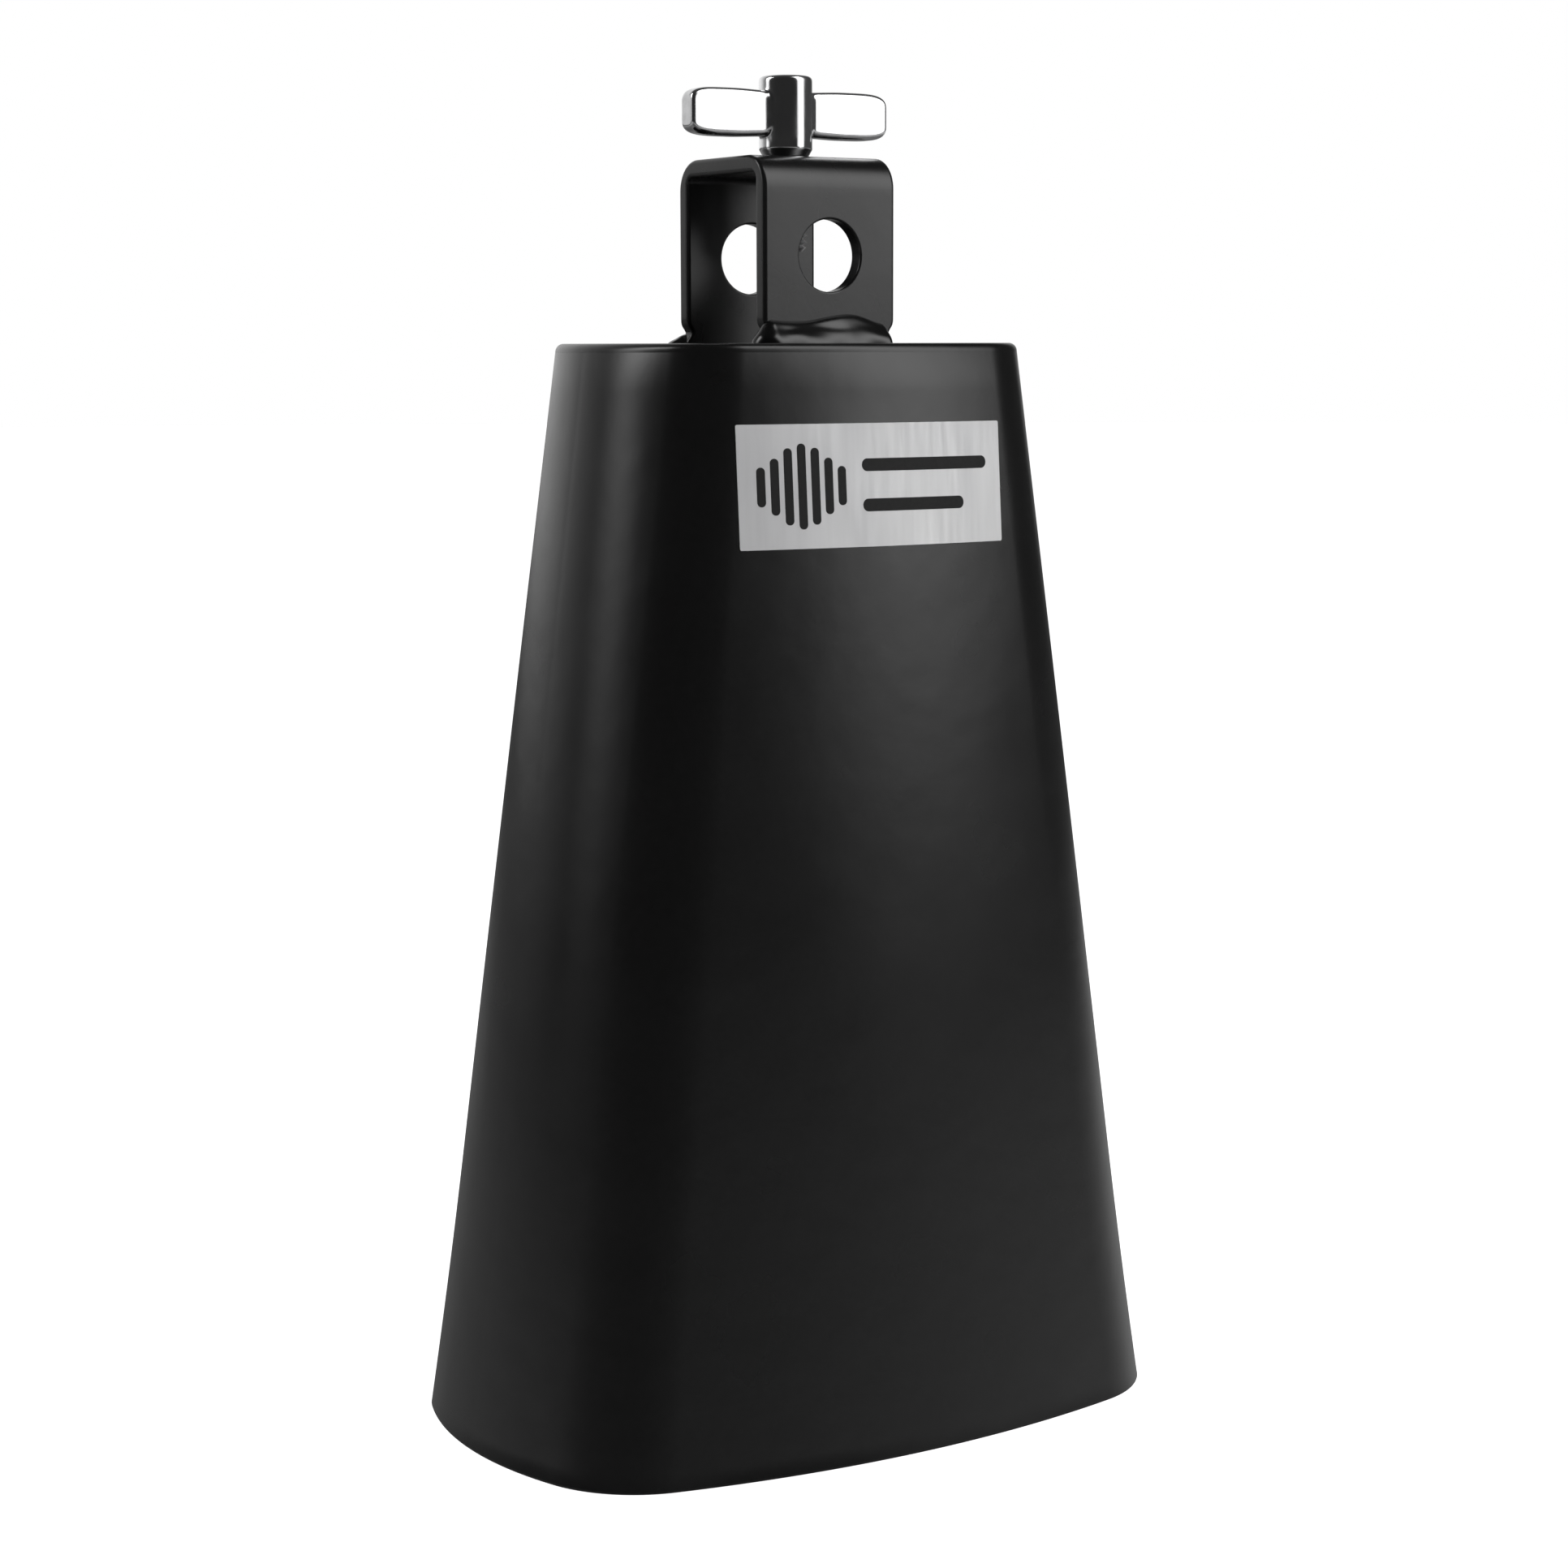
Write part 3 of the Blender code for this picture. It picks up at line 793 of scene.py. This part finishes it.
def build_head(chrome):
    """The cast head: hub and wings joined, then remeshed and smoothed so that they flow together."""
    head = linked("wing_screw_head", hub_mesh())
    wings = [linked(name, wing_mesh(side)) for name, side in (("left_wing", -1.0), ("right_wing", 1.0))]
    for wing in wings:
        add_boolean(head, "UNION", wing)
    remesh = head.modifiers.new("remesh", "REMESH")
    remesh.mode = "VOXEL"
    remesh.voxel_size = HEAD_VOXEL
    remesh.use_smooth_shade = True
    smoothing = head.modifiers.new("smooth", "SMOOTH")
    smoothing.factor = 0.5
    smoothing.iterations = 4
    with_modifiers_applied(head, wings)
    head.data.shade_smooth()
    placed(head, "screw_head", "chrome_plate", chrome, "wing_head")


# Badge


def curved_plate(bm, x_low, x_high, z_low, z_high, lift, thickness, corner):
    """Adds to bm a thin plate with rounded corners that follows the front face."""
    steps = max(8, round((x_high - x_low) / MM))
    corner_steps = 6
    stations = [corner * (1.0 - math.cos(math.pi / 2 * i / corner_steps)) for i in range(corner_steps)]
    straight = x_high - x_low - 2.0 * corner
    stations += [corner + straight * i / steps for i in range(steps + 1)]
    stations += [x_high - x_low - station for station in reversed(stations[:corner_steps])]
    rows = []
    top = lift + thickness
    for station in stations:
        x = x_low + station
        near_end = corner - min(station, x_high - x_low - station)
        trim = corner - math.sqrt(max(0.0, corner ** 2 - max(0.0, near_end) ** 2))
        row = []
        for z, offsets in ((z_low + trim, (lift, top)), (z_high - trim, (top, lift))):
            for offset in offsets:
                oval = bell_oval(z, inset=-offset)
                y = oval.half_depth - oval.face_radius + math.sqrt(oval.face_radius ** 2 - x ** 2)
                row.append(bm.verts.new((x, -y, z)))
        rows.append(row)
    for left, right in zip(rows, rows[1:]):
        for i in range(len(left)):
            bm.faces.new((left[i - 1], left[i], right[i], right[i - 1]))
    for row in (rows[0], rows[-1]):
        bm.faces.new(row)


def build_badge(foil, ink):
    """The foil and its print: a row of upright bars, tallest in the middle, beside two plain rules."""
    bm = bmesh.new()
    curved_plate(
        bm, BADGE_LOW.x, BADGE_HIGH.x, BADGE_LOW.z, BADGE_HIGH.z, FOIL_LIFT, FOIL_THICKNESS, FOIL_CORNER
    )
    mesh = mesh_from(bm, "badge_foil")
    smooth(mesh)
    placed(linked("badge_foil", mesh), "bell", "silver_foil", foil, "badge")

    bm = bmesh.new()
    lift = FOIL_LIFT + FOIL_THICKNESS
    middle_z = (BADGE_LOW.z + BADGE_HIGH.z) / 2
    bars_left = BADGE_LOW.x + BARS_MARGIN
    corner = BAR_WIDTH / 2 - INK_CORNER_CLEARANCE
    for i in range(BARS):
        left = bars_left + i * BAR_PITCH
        off_middle = (i - (BARS - 1) / 2) / BAR_SWELL_REACH
        half_height = BAR_HALF_HEIGHT + BAR_SWELL * math.cos(math.pi / 2 * off_middle) ** 2
        low, high = middle_z - half_height, middle_z + half_height
        curved_plate(bm, left, left + BAR_WIDTH, low, high, lift, INK_THICKNESS, corner)
    left = bars_left + BARS * BAR_PITCH + RULE_GAP
    corner = RULE_HEIGHT / 2 - INK_CORNER_CLEARANCE
    for offset, margin in ((RULE_OFFSET, UPPER_RULE_MARGIN), (-RULE_OFFSET, LOWER_RULE_MARGIN)):
        low = middle_z + offset - RULE_HEIGHT / 2
        high = middle_z + offset + RULE_HEIGHT / 2
        curved_plate(bm, left, BADGE_HIGH.x - margin, low, high, lift, INK_THICKNESS, corner)
    mesh = mesh_from(bm, "badge_print")
    smooth(mesh)
    placed(linked("badge_print", mesh), "bell", "silver_foil", ink)


# Materials


def new_material(name, colour, roughness, metallic):
    """A new material, with its node tree and its Principled shader."""
    material = bpy.data.materials.new(name)
    material.use_nodes = True
    tree = material.node_tree
    shader = tree.nodes["Principled BSDF"]
    shader.inputs["Base Color"].default_value = (*colour, 1.0)
    shader.inputs["Roughness"].default_value = roughness
    shader.inputs["Metallic"].default_value = metallic
    return material, tree, shader


def noise_at(tree, scale, detail=2.0, stretch=(1.0, 1.0, 1.0)):
    """The output of a noise texture over the object's own metres, with scale features to a metre."""
    coordinates = tree.nodes.new("ShaderNodeTexCoord")
    mapping = tree.nodes.new("ShaderNodeMapping")
    mapping.inputs["Scale"].default_value = stretch
    texture = tree.nodes.new("ShaderNodeTexNoise")
    texture.inputs["Scale"].default_value = scale
    texture.inputs["Detail"].default_value = detail
    tree.links.new(coordinates.outputs["Object"], mapping.inputs["Vector"])
    tree.links.new(mapping.outputs["Vector"], texture.inputs["Vector"])
    return texture.outputs["Fac"]


def ranged(tree, value, low, high, from_low=0.3, from_high=0.7, interpolation="LINEAR"):
    """The value spread over a new range."""
    spread = tree.nodes.new("ShaderNodeMapRange")
    spread.interpolation_type = interpolation
    spread.inputs["From Min"].default_value = from_low
    spread.inputs["From Max"].default_value = from_high
    spread.inputs["To Min"].default_value = low
    spread.inputs["To Max"].default_value = high
    tree.links.new(value, spread.inputs["Value"])
    return spread.outputs["Result"]


def mixed_colour(tree, share, first, second):
    mix = tree.nodes.new("ShaderNodeMix")
    mix.data_type = "RGBA"
    mix.inputs["A"].default_value = (*first, 1.0)
    mix.inputs["B"].default_value = (*second, 1.0)
    tree.links.new(share, mix.inputs["Factor"])
    return mix.outputs["Result"]


def bumped(tree, shader, heights):
    """Chains bumps of (height output, depth in metres) into the shader's normal."""
    normal = None
    for height, depth in heights:
        bump = tree.nodes.new("ShaderNodeBump")
        bump.inputs["Strength"].default_value = 1.0
        bump.inputs["Distance"].default_value = depth
        tree.links.new(height, bump.inputs["Height"])
        if normal is not None:
            tree.links.new(normal, bump.inputs["Normal"])
        normal = bump.outputs["Normal"]
    tree.links.new(normal, shader.inputs["Normal"])


def powder_coat(name, dark, light, roughness, wave_depth, peel_depth):
    """Satin black powder coat: slow waves, orange peel, a drift in gloss and a faint change of colour."""
    material, tree, shader = new_material(name, dark, roughness, 0.0)
    slow = noise_at(tree, 45.0, detail=3.0)
    waves = noise_at(tree, 120.0, detail=1.0)
    fine = noise_at(tree, 900.0, detail=3.0)
    grain = noise_at(tree, 3800.0, detail=2.0)
    colour = mixed_colour(tree, ranged(tree, fine, 0.0, 1.0), dark, light)
    tree.links.new(colour, shader.inputs["Base Color"])
    tree.links.new(ranged(tree, slow, roughness - 0.02, roughness + 0.03), shader.inputs["Roughness"])
    bumped(tree, shader, [(waves, wave_depth), (fine, peel_depth), (grain, peel_depth * 0.06)])
    return material


def plated(name, colour, roughness, ripple_depth, streak_depth):
    """Bright plate over a casting or a thread: slow ripple, fine upright streaks and a patchy polish."""
    material, tree, shader = new_material(name, colour, roughness, 1.0)
    ripple = noise_at(tree, 420.0, detail=2.0)
    streaks = noise_at(tree, 2400.0, detail=2.0, stretch=(1.0, 1.0, 0.06))
    patches = noise_at(tree, 260.0, detail=4.0)
    tree.links.new(ranged(tree, patches, roughness * 0.6, roughness * 1.7), shader.inputs["Roughness"])
    darker = tuple(channel * 0.82 for channel in colour)
    patchy = mixed_colour(tree, ranged(tree, patches, 0.0, 1.0), colour, darker)
    tree.links.new(patchy, shader.inputs["Base Color"])
    bumped(tree, shader, [(ripple, ripple_depth), (streaks, streak_depth)])
    return material


def foil_material():
    """Satin silver foil with a fine upright brush."""
    material, tree, shader = new_material("silver_foil", (0.72, 0.72, 0.72), 0.55, 0.75)
    brush = noise_at(tree, 900.0, detail=3.0, stretch=(1.0, 1.0, 0.04))
    broad = noise_at(tree, 70.0, detail=2.0, stretch=(1.0, 1.0, 0.3))
    colour = mixed_colour(tree, ranged(tree, broad, 0.0, 1.0), (0.76, 0.76, 0.76), (0.62, 0.62, 0.63))
    tree.links.new(colour, shader.inputs["Base Color"])
    tree.links.new(ranged(tree, brush, 0.5, 0.62), shader.inputs["Roughness"])
    bumped(tree, shader, [(brush, 0.002 * MM)])
    return material


def ink_material():
    """Matt black ink, a little uneven."""
    material, tree, shader = new_material("black_print", (0.01, 0.01, 0.01), 0.55, 0.0)
    shader.inputs["Specular IOR Level"].default_value = 0.25
    mottle = noise_at(tree, 1600.0, detail=2.0)
    tree.links.new(ranged(tree, mottle, 0.5, 0.62), shader.inputs["Roughness"])
    return material


# Stage


def build_floor():
    """A wide pale disc that stays out of glossy reflections."""
    bm = bmesh.new()
    bmesh.ops.create_circle(bm, cap_ends=True, segments=96, radius=FLOOR_RADIUS)
    mesh = mesh_from(bm, "floor")
    floor = linked("floor", mesh)
    material, tree, shader = new_material("pale_floor", (0.86, 0.86, 0.86), 0.7, 0.0)
    shader.inputs["Emission Color"].default_value = (1.0, 1.0, 1.0, 1.0)
    shader.inputs["Emission Strength"].default_value = FLOOR_GLOW
    grain = noise_at(tree, 60.0, detail=3.0)
    colour = mixed_colour(tree, ranged(tree, grain, 0.0, 1.0), (0.86, 0.86, 0.86), (0.88, 0.88, 0.88))
    tree.links.new(colour, shader.inputs["Base Color"])
    mesh.materials.append(material)
    floor.visible_glossy = False


def horizontal(azimuth):
    """The level direction at this many degrees from +X towards +Y."""
    return Vector((math.cos(math.radians(azimuth)), math.sin(math.radians(azimuth)), 0.0))


def softbox(name, azimuth, low, high, half_width, feather, radiance):
    """A glowing panel that faces the bell.

    Its lower and upper edges lie at these (distance, height) points on that azimuth. It is brightest along
    its upright centre line and fades out towards the sides, and over the feather's length at the bottom.
    """
    level = horizontal(azimuth)
    foot, head = (level * distance + Vector((0.0, 0.0, height)) for distance, height in (low, high))
    tall = (head - foot).length
    bm = bmesh.new()
    corners = ((-half_width, 0.0), (half_width, 0.0), (half_width, tall), (-half_width, tall))
    bm.faces.new([bm.verts.new((x, y, 0.0)) for x, y in corners])
    panel = linked(name, mesh_from(bm, name))
    upward = (head - foot).normalized()
    across = Vector((0.0, 0.0, 1.0)).cross(level)
    panel.location = foot
    panel.rotation_euler = Matrix((across, upward, across.cross(upward))).transposed().to_euler()
    panel.visible_camera = False
    panel.visible_shadow = False

    material = bpy.data.materials.new(name)
    material.use_nodes = True
    tree = material.node_tree
    tree.nodes.remove(tree.nodes["Principled BSDF"])
    place = tree.nodes.new("ShaderNodeTexCoord").outputs["Object"]
    sideways = calculated(tree, "ABSOLUTE", towards(tree, place, (1.0, 0.0, 0.0)), 0.0)
    across_fade = ranged(tree, sideways, radiance, 0.0, 0.0, half_width, "SMOOTHSTEP")
    foot_fade = ranged(tree, towards(tree, place, (0.0, 1.0, 0.0)), 0.0, 1.0, 0.0, feather, "SMOOTHSTEP")
    glow = tree.nodes.new("ShaderNodeEmission")
    tree.links.new(calculated(tree, "MULTIPLY", across_fade, foot_fade), glow.inputs["Strength"])
    tree.links.new(glow.outputs["Emission"], tree.nodes["Material Output"].inputs["Surface"])
    panel.data.materials.append(material)


def calculated(tree, operation, first, second):
    """A maths node of two outputs, or of an output and a number."""
    node = tree.nodes.new("ShaderNodeMath")
    node.operation = operation
    for socket, value in zip(node.inputs, (first, second)):
        if isinstance(value, float):
            socket.default_value = value
        else:
            tree.links.new(value, socket)
    return node.outputs["Value"]


def towards(tree, direction, axis):
    """How far a direction or a place reaches along an axis: their dot product."""
    dot = tree.nodes.new("ShaderNodeVectorMath")
    dot.operation = "DOT_PRODUCT"
    dot.inputs[1].default_value = axis
    tree.links.new(direction, dot.inputs[0])
    return dot.outputs["Value"]


def build_world():
    """White for the camera. For light and reflections, a dim room with a pale back wall and table."""
    world = bpy.data.worlds.new("studio")
    bpy.context.scene.world = world
    world.use_nodes = True
    tree = world.node_tree
    background = tree.nodes["Background"]
    direction = tree.nodes.new("ShaderNodeTexCoord").outputs["Generated"]
    upward = towards(tree, direction, (0.0, 0.0, 1.0))
    behind = towards(tree, direction, horizontal(BACK_WALL_AZIMUTH))
    camera_side = towards(tree, direction, horizontal(CAMERA_AZIMUTH - 90.0))

    wall = calculated(
        tree, "MULTIPLY",
        ranged(tree, behind, 0.0, BACK_WALL, *BACK_WALL_FADE),
        ranged(tree, upward, 0.0, 1.0, *BACK_WALL_FOOT_FADE),
    )
    table = calculated(
        tree, "MULTIPLY",
        calculated(
            tree, "MULTIPLY",
            ranged(tree, upward, TABLE, 0.0, *TABLE_FAR_FADE),
            ranged(tree, upward, TABLE_NEAR, 1.0, *TABLE_NEAR_FADE),
        ),
        calculated(
            tree, "MULTIPLY",
            ranged(tree, camera_side, 1.0, TABLE_CAMERA_SIDE, *TABLE_CAMERA_SIDE_FADE),
            ranged(tree, behind, 1.0, TABLE_BACK, *TABLE_BACK_FADE),
        ),
    )
    room = ranged(tree, camera_side, ROOM, ROOM * ROOM_CAMERA_SIDE, *ROOM_FADE)
    strength = calculated(tree, "ADD", calculated(tree, "ADD", wall, table), room)
    light_path = tree.nodes.new("ShaderNodeLightPath")
    seen = tree.nodes.new("ShaderNodeMix")
    seen.data_type = "FLOAT"
    seen.inputs["B"].default_value = 1.0
    tree.links.new(light_path.outputs["Is Camera Ray"], seen.inputs["Factor"])
    tree.links.new(strength, seen.inputs["A"])
    tree.links.new(seen.outputs["Result"], background.inputs["Strength"])
    background.inputs["Color"].default_value = (1.0, 1.0, 1.0, 1.0)


def build_lights():
    """One softbox for the broad sheen on the front face, one for the highlight along the left corner."""
    softbox(
        "right_softbox", azimuth=-52.5, low=(1.2, 0.0), high=(0.55, 1.35),
        half_width=0.41, feather=0.42, radiance=3.5,
    )
    softbox(
        "left_softbox", azimuth=154.0, low=(1.2, 0.0), high=(0.9, 1.3),
        half_width=0.28, feather=1.0, radiance=5.8,
    )


def build_camera():
    """The camera, turned by its azimuth about Z, looking down by its pitch and rolled about its own axis."""
    azimuth = math.radians(CAMERA_AZIMUTH)
    data = bpy.data.cameras.new("camera")
    data.sensor_width = SENSOR_WIDTH_MM
    data.lens = CAMERA_FOCAL_PIXELS / FRAME_PIXELS * SENSOR_WIDTH_MM
    data.shift_x = (FRAME_PIXELS / 2 - CAMERA_CENTRE_X) / FRAME_PIXELS
    data.clip_start = 0.01
    camera = bpy.data.objects.new("camera", data)
    camera.location = (
        math.sin(azimuth) * CAMERA_DISTANCE, -math.cos(azimuth) * CAMERA_DISTANCE, CAMERA_HEIGHT
    )
    camera.rotation_euler = (
        Matrix.Rotation(azimuth, 3, "Z")
        @ Matrix.Rotation(math.radians(90.0 - CAMERA_PITCH), 3, "X")
        @ Matrix.Rotation(math.radians(CAMERA_ROLL), 3, "Z")
    ).to_euler()
    bpy.context.scene.collection.objects.link(camera)
    bpy.context.scene.camera = camera


def build_bell():
    """Everything that is fixed to the bell: its sheet metal, the bracket, the welds and the badge."""
    coat = powder_coat(
        "shell_powder_coat", dark=(0.004, 0.004, 0.004), light=(0.0055, 0.0055, 0.0055),
        roughness=0.25, wave_depth=0.06 * MM, peel_depth=0.008 * MM,
    )
    build_shells(coat)
    build_crown(coat)
    strap_coat = powder_coat(
        "bracket_powder_coat", dark=(0.0052, 0.0052, 0.0053), light=(0.0068, 0.0068, 0.0069),
        roughness=0.27, wave_depth=0.03 * MM, peel_depth=0.008 * MM,
    )
    build_bracket(strap_coat)
    weld_coat = powder_coat(
        "weld_powder_coat", dark=(0.004, 0.004, 0.004), light=(0.0055, 0.0055, 0.0055),
        roughness=0.2, wave_depth=0.03 * MM, peel_depth=0.006 * MM,
    )
    for name, node, side, left_height, peak_height, seed in (
        ("front_bead", "front_bracket_weld", -1.0, 4.2 * MM, 1.5 * MM, 2.3),
        ("rear_bead", "rear_bracket_weld", 1.0, 1.9 * MM, 0.6 * MM, 9.1),
    ):
        bead = bracket_bead(name, side, left_height, peak_height, seed)
        placed(bead, "bell", "weld_powder_coat", weld_coat, node)
    build_seam_beads(weld_coat)
    build_crown_bead(weld_coat)
    build_badge(foil_material(), ink_material())


def build_screw():
    """The wing screw: a dull zinc-plated stud in a bright head."""
    zinc = plated(
        "zinc_plate", colour=(0.8, 0.8, 0.81), roughness=0.38,
        ripple_depth=0.002 * MM, streak_depth=0.0005 * MM,
    )
    chrome = plated(
        "chrome_plate", colour=(0.86, 0.86, 0.87), roughness=0.13,
        ripple_depth=0.008 * MM, streak_depth=0.004 * MM,
    )
    build_stud(zinc)
    build_head(chrome)


bpy.context.scene.view_settings.view_transform = "Standard"
build_camera()
build_world()
build_lights()
build_floor()
build_bell()
build_screw()
